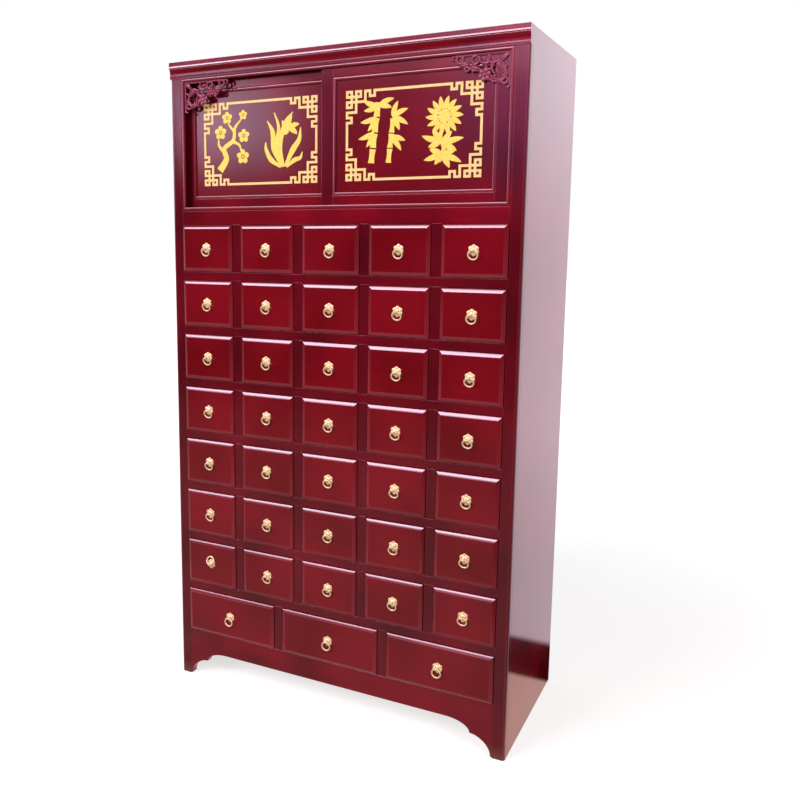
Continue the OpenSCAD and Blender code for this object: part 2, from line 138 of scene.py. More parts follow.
# The world is white to the camera. What the lacquer mirrors of it is a painted reflection, seen by
# glossy rays only: a pale wall behind and a dim room in front, with a wide soft box high on the
# left, a second one on the right, and a window, lamps, haze and a bright strip near the horizon.
# Each is bounded by shares of the direction.
world = bpy.data.worlds.new("studio")
bpy.context.scene.world = world
world.use_nodes = True
sky = world.node_tree
sky.nodes.clear()
direction = add_node(sky, "ShaderNodeTexCoord").outputs["Generated"]
east, north, up = add_node(sky, "ShaderNodeSeparateXYZ", inputs={0: direction}).outputs
ahead = (north, -0.5, -0.6)
box_seen = faded(sky, (up, 0.34, 0.56), (up, 0.86, 0.66),
                 (east, -0.80, -0.64), (east, -0.08, -0.22), ahead, 13.0)
window = faded(sky, (east, -0.44, -0.56), (east, -0.6, -0.575),
               (up, 0.04, 0.12), (up, 0.2, 0.14), ahead, 3.2)
lamps = faded(sky, (east, -0.66, -0.8), (up, 0.0, 0.08), (up, 0.3, 0.2), ahead, 9.0)
haze = faded(sky, (up, 0.0, 0.22), (up, 0.42, 0.3), (east, -0.38, -0.26, 0.15, 1.0), ahead, 1.3)
strip = faded(sky, (up, 0.155, 0.19), (up, 0.36, 0.26), (east, -0.58, -0.46, 0.1, 1.0), ahead, 0.9)
second_box = faded(sky, (east, 0.3, 0.5), (east, 0.9, 0.75),
                   (up, 0.15, 0.35), (up, 0.8, 0.6), (north, -0.2, -0.35), 5.0)
room = faded(sky, (north, -0.5, 0.5, 0.015, 1.0), (up, -0.05, 0.2, 1.4, 2.0))
mirrored = room
for patch in (box_seen, window, lamps, haze, strip, second_box):
    mirrored = add_node(sky, "ShaderNodeMath", inputs={0: mirrored, 1: patch}).outputs[0]
front_hue = layered(sky, "#d8d8f8", ((east, -0.52, -0.42), "#d49cf0"),
                    ((up, 0.14, 0.18), "#f4b4dc"), ((up, 0.26, 0.36), "#ece4fc"),
                    ((up, 0.50, 0.72), "#f6d6ea"))
wall_hue = layered(sky, "#efdae6", ((up, 0.0, 0.2), "#e7dee9"))
mirrored_hue = layered(sky, wall_hue, ((north, -0.2, -0.5), front_hue))
room_light = 0.35
ray = add_node(sky, "ShaderNodeLightPath").outputs
backdrop = add_node(sky, "ShaderNodeBackground", inputs={
    0: layered(sky, "#ffffff", (ray["Is Glossy Ray"], mirrored_hue)),
    1: layered(sky, room_light, (ray["Is Glossy Ray"], mirrored), (ray["Is Camera Ray"], 1.0),
               kind="FLOAT")})
add_node(sky, "ShaderNodeOutputWorld", inputs={0: backdrop.outputs[0]})


def new_finish(name):
    """A new material, its empty node tree, and in it the place on the piece."""
    made = bpy.data.materials.new(name)
    made.use_nodes = True
    made.node_tree.nodes.clear()
    place = add_node(made.node_tree, "ShaderNodeTexCoord").outputs["Object"]
    return made, made.node_tree, place


# The floor is white paper. It keeps the shadow of the cabinet close by and fades into the white of
# the world further off. What the lacquer mirrors of it is a painted reflection, seen by glossy rays
# only: dim in front, paler beside the cabinet and palest behind it, and far on the right it
# follows the direction from the middle, y / x.
floor_half = 30.0
floor_mesh = bpy.data.meshes.new("studio_floor")
floor_mesh.from_pydata(
    [(x * floor_half, y * floor_half, 0) for x, y in ((-1, -1), (1, -1), (1, 1), (-1, 1))],
    [], [(0, 1, 2, 3)])
studio_floor = bpy.data.objects.new("studio_floor", floor_mesh)
bpy.context.scene.collection.objects.link(studio_floor)
paper, tree, spot = new_finish("matt_white_paper")
away = add_node(tree, "ShaderNodeVectorMath", {"operation": "LENGTH"}, {0: spot}).outputs["Value"]
sheet = add_node(tree, "ShaderNodeBsdfDiffuse", inputs={0: linear("#c4c2c1")})
white = add_node(tree, "ShaderNodeEmission", inputs={
    0: linear("#ffffff"), 1: faded(tree, (away, 1.0, 4.0, 0.68, 1.0))})
lit = add_node(tree, "ShaderNodeAddShader", inputs={0: sheet.outputs[0], 1: white.outputs[0]})
x, y = add_node(tree, "ShaderNodeSeparateXYZ", inputs={0: spot}).outputs[:2]
in_front = faded(tree, (y, -7.0, -0.8, 0.02, 0.24))
beside = faded(tree, (y, -0.36, -0.26))
beyond = faded(tree, (y, 0.6, 5.0, 1.05, 1.4))
near = add_node(tree, "ShaderNodeMath", inputs={0: in_front, 1: faded(tree, beside, 0.66)})
left = add_node(tree, "ShaderNodeMath", inputs={
    0: in_front, 1: faded(tree, (y, -0.8, 0.55, 0.0, 0.8))})
near_front = layered(tree, faded(tree, (y, 0.30, 0.26), near.outputs[0]),
                     ((x, -0.65, -0.75), faded(tree, (y, 0.62, 0.55), left.outputs[0])),
                     kind="FLOAT")
slope = add_node(tree, "ShaderNodeMath", {"operation": "DIVIDE"}, {0: y, 1: x}).outputs[0]
on_right = layered(tree, faded(tree, (slope, -0.58, 0.3, 0.02, 1.05)),
                   ((slope, 0.3, 0.56), beyond), kind="FLOAT")
painted_front_reflection = add_node(tree, "ShaderNodeEmission", inputs={
    0: layered(tree, "#f2dcd8", (beside, "#ffd3c7")),
    1: faded(tree, (x, 1.1, 0.95), near_front)})
painted_wall_reflection = add_node(tree, "ShaderNodeEmission", inputs={
    0: linear("#efdae6"),
    1: layered(tree, faded(tree, (y, 0.55, 0.62), beyond), ((x, 0.95, 1.1), on_right),
               kind="FLOAT")})
painted_reflection = add_node(tree, "ShaderNodeAddShader",
                 inputs={0: painted_front_reflection.outputs[0], 1: painted_wall_reflection.outputs[0]})
ray = add_node(tree, "ShaderNodeLightPath").outputs
seen = add_node(tree, "ShaderNodeMixShader",
                inputs={0: ray["Is Camera Ray"], 1: sheet.outputs[0], 2: lit.outputs[0]})
shown = add_node(tree, "ShaderNodeMixShader",
                 inputs={0: ray["Is Glossy Ray"], 1: seen.outputs[0], 2: painted_reflection.outputs[0]})
add_node(tree, "ShaderNodeOutputMaterial", inputs={0: shown.outputs[0]})
floor_mesh.materials.append(paper)


# Side boards
# Two upright boards, 18 mm thick, reach from the floor to the top and carry everything. They are
# sprayed with red-brown lacquer over a rosewood stain and polished, so they mirror the room.
def softened(corners, radii, steps=4, hold=0.4 * mm, closed=False):
    """A polyline with its corners rounded. A corner of radius r gives way to an arc that starts
    r tan(a / 2) before it, where a is the turn, with a straight stretch held on both sides so that
    the flats stay flat in shading. Returns the points, and 1 for those on an arc or else 0."""
    corners = np.asarray(corners, float)
    count = len(corners)
    points, wear_and_sheen = [], []
    for i, radius in enumerate(radii):
        here = corners[i]
        if radius == 0 or (not closed and i in (0, count - 1)):
            points.append(here[None])
            wear_and_sheen.append([0])
            continue
        before, after = corners[i - 1] - here, corners[(i + 1) % count] - here
        before, after = before / np.linalg.norm(before), after / np.linalg.norm(after)
        half = math.acos(np.clip(before @ after, -1, 1)) / 2
        reach = radius / math.tan(half)
        centre = here + (before + after) / np.linalg.norm(before + after) * radius / math.sin(half)
        start, end = here + before * reach, here + after * reach
        share = np.linspace(0, 1, steps + 1)[:, None]
        turn = math.pi - 2 * half
        arc = (np.sin((1 - share) * turn) * (start - centre)
               + np.sin(share * turn) * (end - centre)) / math.sin(turn) + centre
        points += [(start + before * hold)[None], arc, (end + after * hold)[None]]
        wear_and_sheen += [[0], [1] * (steps + 1), [0]]
    return np.concatenate(points), np.concatenate(wear_and_sheen)


def loft(rings, wear_and_sheen=None, closed=False):
    """Joins rings of points, an array (ring, point, xyz), by quads. If closed, the last ring joins
    the first, and otherwise one face shuts each end. worn is a number from 0 to 1 for each ring."""
    count, around = rings.shape[:2]
    ring, point = np.meshgrid(np.arange(count if closed else count - 1), np.arange(around),
                              indexing="ij")
    after, beside = (ring + 1) % count * around, (point + 1) % around
    ring = ring * around
    quads = np.stack([ring + point, ring + beside, after + beside, after + point], -1)
    faces = quads.reshape(-1, 4).tolist()
    if not closed:
        faces += [list(range(around))[::-1], list(range((count - 1) * around, count * around))]
    if wear_and_sheen is None:
        wear_and_sheen = np.zeros((count, around))
    wear_and_sheen = np.broadcast_to(np.asarray(wear_and_sheen, float).reshape(count, -1), (count, around))
    return rings.reshape(-1, 3), faces, wear_and_sheen.ravel()


def mitred(low, high, axis, inset, along, wear_and_sheen=None, closed=False):
    """A profile carried round a rectangle and mitred at its corners: ring i is the rectangle from
    low to high, drawn in by inset[i], at the place along[i] on the given axis. A fourth value names
    the edges of the mitres, which stay sharp."""
    u, v = [k for k in range(3) if k != axis]
    rings = np.zeros((len(inset), 4, 3))
    for corner, (right, up) in enumerate(((0, 0), (1, 0), (1, 1), (0, 1))):
        rings[:, corner, u] = high[u] - inset if right else low[u] + inset
        rings[:, corner, v] = high[v] - inset if up else low[v] + inset
    rings[:, :, axis] = np.asarray(along)[:, None]
    start = np.arange(4 * (len(inset) - (not closed)))
    mitres = np.stack([start, (start + 4) % (4 * len(inset))], 1)
    return *loft(rings, wear_and_sheen, closed), mitres


arris_r = 1.0 * mm


def board(low, high, axis, radius=arris_r):
    """A sawn board with the arrises round its two faces across the axis sanded to a radius."""
    inner = min(4 * radius, 0.4 * min(high[k] - low[k] for k in range(3) if k != axis))
    profile, wear_and_sheen = softened(
        [(inner, low[axis]), (0, low[axis]), (0, high[axis]), (inner, high[axis])],
        [0, radius, radius, 0])
    return mitred(low, high, axis, profile[:, 0], profile[:, 1], wear_and_sheen)


def make_piece(name, parts, material, body, stands_for=(), sharp=35):
    """One object from parts (points, faces, worn, and mitres if any), each a closed surface. Faces
    turn outwards, and shading is smooth except at mitres and over edges that turn more than sharp
    degrees."""
    points, faces, wear_and_sheen, mitres, start = [], [], [], [np.empty((0, 2), int)], 0
    for part in parts:
        points.append(part[0])
        faces += [[i + start for i in face] for face in part[1]]
        wear_and_sheen.append(part[2])
        mitres += [edges + start for edges in part[3:]]
        start += len(part[0])
    mesh = bpy.data.meshes.new(name)
    mesh.from_pydata(np.concatenate(points).tolist(), [], faces)
    shell = bmesh.new()
    shell.from_mesh(mesh)
    bmesh.ops.recalc_face_normals(shell, faces=shell.faces)
    shell.to_mesh(mesh)
    shell.free()
    mesh.attributes.new("wear_and_sheen", "FLOAT", "POINT").data.foreach_set(
        "value", np.concatenate(wear_and_sheen).astype(np.float32))
    mesh.shade_smooth()
    mesh.set_sharp_from_angle(angle=math.radians(sharp))
    ends = np.empty(2 * len(mesh.edges), np.int32)
    mesh.edges.foreach_get("vertices", ends)
    edge_key = (start, 1)  # makes one number of an edge's two vertices
    creased = np.isin(np.sort(ends.reshape(-1, 2), 1) @ edge_key,
                      np.sort(np.concatenate(mitres), 1) @ edge_key)
    sharp_edge = mesh.attributes["sharp_edge"].data
    flags = np.empty(len(sharp_edge), bool)
    sharp_edge.foreach_get("value", flags)
    sharp_edge.foreach_set("value", flags | creased)
    mesh.materials.append(material)
    piece = bpy.data.objects.new(name, mesh)
    bpy.context.scene.collection.objects.link(piece)
    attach(piece, body)
    if stands_for:
        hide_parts(*stands_for)
    return piece


def streaks(tree, place, grain, width, length, detail, distortion=0.0):
    """Noise in streaks, of a width across the grain axis and a length along it."""
    per_m = [1 / width] * 3
    per_m[grain] = 1 / length
    drawn_out = add_node(tree, "ShaderNodeMapping", inputs={0: place, 3: per_m})
    noise = add_node(tree, "ShaderNodeTexNoise", inputs={
        0: drawn_out.outputs[0], "Scale": 1.0, "Detail": detail, "Distortion": distortion})
    return noise.outputs[0]


def lacquer(name, grain, shade, light, gloss=0.06, figure_depth=0.25, coat=1.0):
    """Polished nitrocellulose lacquer over stained hardwood: a clear hard coat that mirrors, over a
    red-brown ground. The pores, 0.5 mm wide, are too fine to show in the render, so the figure of
    the grain is drawn in streaks 14 mm wide. Sprayed colour lies in clouds about 250 mm across, and
    the coat ripples from one crest to the next in 9 mm. It is painted paler by the point attribute:
    on sanded arrises and on the crowns of beads and carving that is rubbing and a painted sheen in
    one, and on the bevels of the drawer fronts a painted sheen that stands for light from below."""
    pore = "#260206"
    rub_and_sheen = 0.25
    made, tree, place = new_finish(name)
    figure = streaks(tree, place, grain, 14 * mm, 300 * mm, 3.0, 0.6)
    pores = streaks(tree, place, grain, 0.5 * mm, 25 * mm, 2.0)
    clouds = add_node(tree, "ShaderNodeTexNoise",
                      inputs={0: place, "Scale": 1 / (250 * mm), "Detail": 1.0})
    wear_and_sheen = add_node(tree, "ShaderNodeAttribute", {"attribute_name": "wear_and_sheen"})
    colour = layered(tree, shade, ((clouds.outputs[0], 0.34, 0.66), light),
                     ((figure, 0.42, 0.75, 0.0, figure_depth), pore),
                     ((pores, 0.58, 0.72, 0.0, 0.2), pore),
                     (faded(tree, wear_and_sheen.outputs["Fac"], rub_and_sheen), "#98404a"), curve="LINEAR")
    peel = add_node(tree, "ShaderNodeTexNoise",
                    inputs={0: place, "Scale": 1 / (9 * mm), "Detail": 1.0})
    skin = add_node(tree, "ShaderNodeBump", inputs={
        "Strength": 0.035, "Distance": 1 * mm, "Height": peel.outputs[0]})
    open_pores = add_node(tree, "ShaderNodeBump", inputs={
        "Strength": 0.08, "Distance": 0.2 * mm, "Height": figure, "Normal": skin.outputs[0]})
    paint = add_node(tree, "ShaderNodeBsdfPrincipled", inputs={
        "Base Color": colour, "Roughness": 0.42, "IOR": 1.45, "Specular IOR Level": 0.05,
        "Coat Weight": coat, "Coat Roughness": gloss, "Coat IOR": 1.75,
        "Normal": open_pores.outputs[0], "Coat Normal": skin.outputs[0]})
    add_node(tree, "ShaderNodeOutputMaterial", inputs={0: paint.outputs[0]})
    return made


def dress(node, material):
    """Gives a CAD node that stays its finish."""
    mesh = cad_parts[node].data
    mesh.materials.clear()
    mesh.materials.append(material)


lacquer_x = lacquer("red_lacquer_level_grain", 0, shade="#56040f", light="#7a081a")
# Posts, muntins and door stiles get a darker copy of the lacquer: painted shade.
lacquer_z_painted_shade = lacquer("red_lacquer_upright_grain_painted_shade", 2, shade="#4c0410", light="#620818")
# The side boards get a paler copy of the lacquer: painted light, since the lamps light them little.
lacquer_side_painted_light = lacquer("red_lacquer_sides_painted_light", 2, shade="#6c0510", light="#8c0a1c")
case_low, case_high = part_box("side_boards")
wall_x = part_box("cross_boards")[1].x
for side, x0, x1 in (("left", case_low.x, -wall_x), ("right", wall_x, case_high.x)):
    make_piece(f"{side}_side_board",
               [board((x0, case_low.y, case_low.z), (x1, case_high.y, case_high.z), 0)],
               lacquer_side_painted_light, "cabinet", ["side_boards"])


# Inner boards
# Top, floors and back are covered with a duller, darker coat, and the partitions and the runners
# that the drawers slide on are bare planed softwood. They are glued and screwed between the sides.
def bare_wood(name, grain):
    """Planed softwood without a finish: yearly rings show as bands about 9 mm wide, drawn out along
    the grain axis, and fibres 0.6 mm wide make the surface dull."""
    made, tree, place = new_finish(name)
    rings = streaks(tree, place, grain, 9 * mm, 260 * mm, 2.0, 0.4)
    fibres = streaks(tree, place, grain, 0.6 * mm, 20 * mm, 2.0)
    colour = layered(tree, "#d8b283", ((rings, 0.38, 0.62), "#b98750"),
                     ((fibres, 0.5, 0.75, 0.0, 0.3), "#8a5f34"), curve="LINEAR")
    relief = add_node(tree, "ShaderNodeBump",
                      inputs={"Strength": 0.25, "Distance": 0.2 * mm, "Height": fibres})
    wood = add_node(tree, "ShaderNodeBsdfPrincipled", inputs={
        "Base Color": colour, "Roughness": 0.72, "Normal": relief.outputs[0]})
    add_node(tree, "ShaderNodeOutputMaterial", inputs={0: wood.outputs[0]})
    return made


lacquer_dull = lacquer("dark_lacquer_dull", 0, shade="#3f0a12", light="#5a0d18", gloss=0.28)
bare_y = bare_wood("planed_softwood", 1)
dress("cross_boards", lacquer_dull)
dress("back_panel", lacquer_dull)
dress("partitions", bare_y)
dress("drawer_runners", bare_y)


# Face frame
# Two posts with a rounded outer edge, rails from post to post, and muntins let in between the
# rails. They are planed flush, glued up and lacquered as one, so the joints show as fine lines.
post_round = 9 * mm
# The rounded outer edge of each post is painted paler by this share: rubbing and a painted sheen in
# one.
post_wear_and_sheen = 0.6
frame_arris_r = 0.5 * mm
front_gap = 1.5 * mm
run_gap = 0.3 * mm
rows, columns, wide_columns = 7, 5, 3
post_low, post_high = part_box("front_posts")
rail_low, rail_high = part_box("front_rails")
y_face, y_frame = rail_low.y, rail_high.y
post_x = rail_high.x
cornice_low, cornice_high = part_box("cornice")


def outline_prism(outline, axis, ends, wear_and_sheen=None):
    """A flat outline, an array of (u, v), carried straight along an axis between its two ends."""
    u, v = [k for k in range(3) if k != axis]
    rings = np.zeros((2, len(outline), 3))
    rings[:, :, u] = outline[:, 0]
    rings[:, :, v] = outline[:, 1]
    rings[:, :, axis] = np.array(ends)[:, None]
    wear_and_sheen = np.zeros(len(outline)) if wear_and_sheen is None else wear_and_sheen
    return loft(rings, np.stack([wear_and_sheen, wear_and_sheen]))


for side, name in ((-1, "left_post"), (1, "right_post")):
    inner, outer = side * post_x, side * post_high.x
    corners = np.array([(inner, y_face), (outer, y_face), (outer, y_frame), (inner, y_frame)])
    section, wear_and_sheen = softened(corners, [arris_r, post_round, arris_r, arris_r], steps=8, closed=True)
    below = outline_prism(section, 2, (post_low.z, cornice_low.z), post_wear_and_sheen * wear_and_sheen)
    behind_cornice = outline_prism(corners, 2, (cornice_low.z, post_high.z))
    make_piece(name, [below, behind_cornice], lacquer_z_painted_shade, "cabinet", ["front_posts"])


def opening_of(node):
    """The opening that a drawer fills: x from and to, then z from and to."""
    low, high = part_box(node)
    return low.x - front_gap, high.x + front_gap, low.z - run_gap, high.z + front_gap


wide = [f"wide_drawer_{column}" for column in range(1, wide_columns + 1)]
lines = [[f"drawer_r{row}c{column}" for column in range(1, columns + 1)]
         for row in range(1, rows + 1)]
lines.append(wide)
opening = {node: opening_of(node) for line in lines for node in line}
bead_low, bead_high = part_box("opening_bead")
tops = [opening[line[0]][3] for line in lines]
floors = [bead_low.z, *[opening[line[0]][2] for line in lines[:-1]]]
rails = [board((-post_x, y_face, low), (post_x, y_frame, high), 1, frame_arris_r)
         for low, high in [(bead_high.z, rail_high.z), *zip(tops, floors)]]
# The rails between the drawers get a darker copy of the lacquer than the rails round the doors:
# painted shade.
lacquer_rail_painted_shade = lacquer("red_lacquer_rails_painted_shade", 0, shade="#4e0410", light="#6a0818")
make_piece("rails_round_doors", rails[:2], lacquer_x, "cabinet", ["front_rails"])
make_piece("rails_between_drawers", rails[2:], lacquer_rail_painted_shade, "cabinet",
           ["front_rails"])
muntins = [board((opening[left][1], y_face, opening[left][2]),
                 (opening[right][0], y_frame, opening[left][3]), 1, frame_arris_r)
           for line in lines for left, right in zip(line, line[1:])]
make_piece("muntins", muntins, lacquer_z_painted_shade, "cabinet", ["front_muntins"])


# Apron
# The board under the wide drawers. Its lower edge is bandsawn into a bracket at each post, two
# arches that meet in a cusp, and the edge is then sanded round.
apron_low, apron_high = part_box("front_apron")
apron_rise = 98 * mm
bracket_l = 150 * mm
cusp_rise = 61 * mm
cusp_at = 0.48 * bracket_l
outer_foot = 0.03 * bracket_l
outer_crown = (0.60 * bracket_l, 1.08 * cusp_rise)
outer_turn = 67


def arch(foot, crown, turn):
    """Points of an ellipse that rises steeply from its foot: at the angle a it lies 1 - cos a of
    the way along to its crown, and sin a of the way up."""
    a = np.radians(np.linspace(0, turn, 17))[:, None]
    foot, crown = np.array(foot), np.array(crown)
    return foot + (crown - foot) * np.concatenate([1 - np.cos(a), np.sin(a)], 1)


bracket = np.concatenate([
    arch((outer_foot, apron_low.z), outer_crown, outer_turn),
    arch((cusp_at, cusp_rise + 2 * mm), (bracket_l, apron_rise), 90),
])
left_half = np.concatenate([[(-post_x, apron_high.z), (-post_x, apron_low.z)],
                            bracket - (post_x, 0)])
outline = np.concatenate([left_half, left_half[::-1] * (-1, 1)])
apron = make_piece("apron", [outline_prism(outline, 1, (y_face, y_frame))],
                   lacquer_x, "cabinet", ["front_apron"])
rounding = apron.modifiers.new("sanded_edge", "BEVEL")
rounding.width = arris_r
rounding.segments = 3
rounding.angle_limit = math.radians(50)


# Cornice
# A moulding planed in one length and glued over the top of the face frame: a flat band, a small
# bead, a shallow hollow, and two fillets with a quirk between them.
band_h = 19 * mm
band_up = 0.2 * mm
lip_h = 1.3 * mm
lip_slope_h = 4 * mm
bead_r = 2.5 * mm
hollow_in = 1.5 * mm
hollow_low = 10 * mm
slope_in = 1.1 * mm
fillet_out = 3.5 * mm
foot_out = 2 * mm
foot_h = 4 * mm
quirk_in = 1 * mm
quirk_h = 1.5 * mm
cornice_h = cornice_high.z - cornice_low.z
cornice_out = y_face - cornice_low.y
band_low = cornice_h - band_h
hollow_high = band_low - 2 * bead_r
neck_out = cornice_out - 3 * mm
band_out = cornice_out - slope_in
lip_low = band_low + band_up
quirk_high = foot_h + quirk_h
quarter = np.linspace(0, math.pi / 2, 13)[1:-1]
half_turn = np.linspace(-math.pi / 2, math.pi / 2, 13)
hollow = np.stack([hollow_in + (neck_out - hollow_in) * (1 - np.cos(quarter)),
                   hollow_low + (hollow_high - hollow_low) * np.sin(quarter)], 1)
beading = np.stack([neck_out + bead_r * np.cos(half_turn),
                    hollow_high + bead_r + bead_r * np.sin(half_turn)], 1)
lower, lower_wear_and_sheen = softened(
    [(0, 0), (foot_out, 0), (foot_out, foot_h), (foot_out - quirk_in, foot_h),
     (foot_out - quirk_in, quirk_high), (fillet_out, quirk_high),
     (fillet_out - slope_in / 2, hollow_low), (hollow_in, hollow_low)],
    [0, 0.5 * mm, 0, 0, 0, 0.6 * mm, 0.6 * mm, 0], hold=0.1 * mm)
upper, upper_wear_and_sheen = softened(
    [(neck_out, lip_low), (cornice_out, lip_low), (cornice_out, lip_low + lip_h),
     (band_out, lip_low + lip_h + lip_slope_h), (band_out, cornice_h), (0, cornice_h)],
    [0, 0.6 * mm, 0.4 * mm, 1.0 * mm, arris_r, 0], hold=0.2 * mm)
section = np.concatenate([lower, hollow, beading, upper])
section = np.stack([y_face - section[:, 0], cornice_low.z + section[:, 1]], 1)
# The bead is painted paler all along, as are the rounded arrises: rubbing and a painted sheen in
# one.
wear_and_sheen = np.concatenate([lower_wear_and_sheen, np.zeros(len(hollow)), np.full(len(beading), 0.7), upper_wear_and_sheen])
make_piece("cornice_moulding", [outline_prism(section, 0, (cornice_low.x, cornice_high.x), wear_and_sheen)],
           lacquer_x, "cabinet", ["cornice"])


# Bead round the door opening
# A low rounded bead with a flat fillet outside it, mitred at the corners and pinned inside the
# opening. Behind it lie the grooved strips that the doors run in.
bead_w = 9 * mm
bead_d = 2.2 * mm
fillet_w = 4 * mm
fillet_back = 1 * mm
trim_w = fillet_w + bead_w


def half_round(start, width, depth, top, back, lead=()):
    """The closed profile of a bead: points (inset, y) of a half ellipse, as deep as its depth,
    whose crown is at top, down to the back, after the points in lead."""
    a = np.linspace(0, math.pi, 17)
    arc = np.stack([start + width / 2 * (1 - np.cos(a)), top + depth * (1 - np.sin(a))], 1)
    before = np.reshape(lead or [(start, back)], (-1, 2))
    profile = np.concatenate([before, arc, [(start + width, back)]])
    # The crown of the bead is marked to be painted paler: rubbing and a painted sheen in one.
    return profile, (profile[:, 1] < top + 0.4 * depth).astype(float)


profile, wear_and_sheen = half_round(fillet_w, bead_w, bead_d, bead_low.y, bead_high.y, [
    (0, bead_high.y), (0, y_face + fillet_back), (fillet_w, y_face + fillet_back)])
bead = mitred((-post_x, y_face, bead_low.z), (post_x, y_face, bead_high.z), 1,
              profile[:, 0], profile[:, 1], wear_and_sheen, closed=True)
make_piece("opening_bead_moulding", [bead], lacquer_x, "cabinet", ["opening_bead"])
dress("door_tracks", lacquer_dull)


# Corner spandrels
# Two openwork brackets fretted out of 5 mm board and carved: vines rounded over, leaves with a
# vein, and domed blossoms 2 mm higher. They are glued into the upper corners of the opening.
spandrel_low, spandrel_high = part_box("corner_spandrels")
flower_up = 2 * mm
vine_w = 6.5 * mm
vine_crown = 1.2 * mm
leaf_up = 0.6 * mm
leaf_crown = 1.6 * mm
vein_d = 1.2 * mm
petal_rise = 2.2 * mm
carving_step = 1 * mm


def ribbon(path, half, back, edge, crown, vein=0.0, closed=False):
    """A strip along a path of (x, z) with its back at y = back. At t from -1 to 1 across its half
    width it is edge + crown (1 - t^2) thick, less vein (1 - |t|)^4 along the middle. Where it is
    narrower it is thinner too, down to 0.35 of that."""
    path = np.asarray(path, float)
    if closed:
        along = np.roll(path, -1, 0) - np.roll(path, 1, 0)
    else:
        along = np.gradient(path, axis=0)
    along /= np.linalg.norm(along, axis=1)[:, None]
    aside = np.stack([-along[:, 1], along[:, 0]], 1)
    t = np.concatenate([np.linspace(-1, 1, 9), [1, -1]])
    thick = edge + crown * (1 - t ** 2) - vein * (1 - abs(t)) ** 4
    thick[-2:] = 0
    half = np.broadcast_to(np.asarray(half, float), len(path))
    rings = np.zeros((len(path), len(t), 3))
    rings[:, :, [0, 2]] = path[:, None] + aside[:, None] * (half[:, None] * t)[:, :, None]
    share = np.minimum(1, half / half.max())[:, None]
    rings[:, :, 1] = back - thick * (0.35 + 0.65 * share)
    wear_and_sheen = np.broadcast_to(np.where(thick > edge + 0.6 * crown, 0.7, 0.0), (len(path), len(t)))
    return loft(rings, wear_and_sheen, closed)


def blossom(x, z, back, radius, petals, edge, rise, turn=0.25, steps=12, disc=0.62):
    """A flower seen from -y, on a polar grid of angle a and share s of the outline. The outline is
    the far side of the petal circles, of radius 0.34 r at 0.66 r from the middle, or the disc, a
    share of r, where that is further. The height is edge, plus rise times the dome of the nearest
    petal, or of the boss in the middle, which is 1.15 times as high and 0.33 r in radius."""
    pitch = 2 * math.pi / petals
    a = np.linspace(0, 2 * math.pi, 12 * petals, endpoint=False)
    petal_r, petal_at, disc_r = 0.34 * radius, 0.66 * radius, disc * radius
    off = (a - turn * pitch + pitch / 2) % pitch - pitch / 2
    inside = petal_r ** 2 - (petal_at * np.sin(off)) ** 2
    petal_edge = petal_at * np.cos(off) + np.sqrt(np.maximum(inside, 0))
    reach = np.maximum(np.where(inside > 0, petal_edge, disc_r), disc_r)
    s = np.concatenate([[1, 1, 0.985, 0.95], np.linspace(0.88, 0.04, steps)])[:, None]
    level = np.concatenate([[0, 0.75, 0.93, 1], np.ones(steps)])[:, None]
    r = s * reach
    far = np.hypot(r * np.cos(off) - petal_at, r * np.sin(off)) / petal_r
    petal_dome = np.sqrt(np.clip(1 - (far / 1.05) ** 2, 0, 1))
    boss = 1.15 * np.sqrt(np.clip(1 - (r / (0.33 * radius)) ** 2, 0, 1))
    height = level * edge + rise * np.maximum(petal_dome * (s < 0.96), boss)
    rings = np.stack([x + r * np.cos(a), back - height, z + r * np.sin(a)], -1)
    return loft(rings, np.clip(height / (edge + rise), 0, 1) * (s < 0.99))


def midrib(x, z, length, turn, bend, t):
    """The middle of a leaf that leaves (x, z) at the angle turn. At the share t of its length it
    has bowed aside by bend sin(pi t) of that length."""
    a = math.radians(turn)
    bow = bend * length * np.sin(math.pi * t)
    return np.stack([x + length * t * math.cos(a) - bow * math.sin(a),
                     z + length * t * math.sin(a) + bow * math.cos(a)], 1)


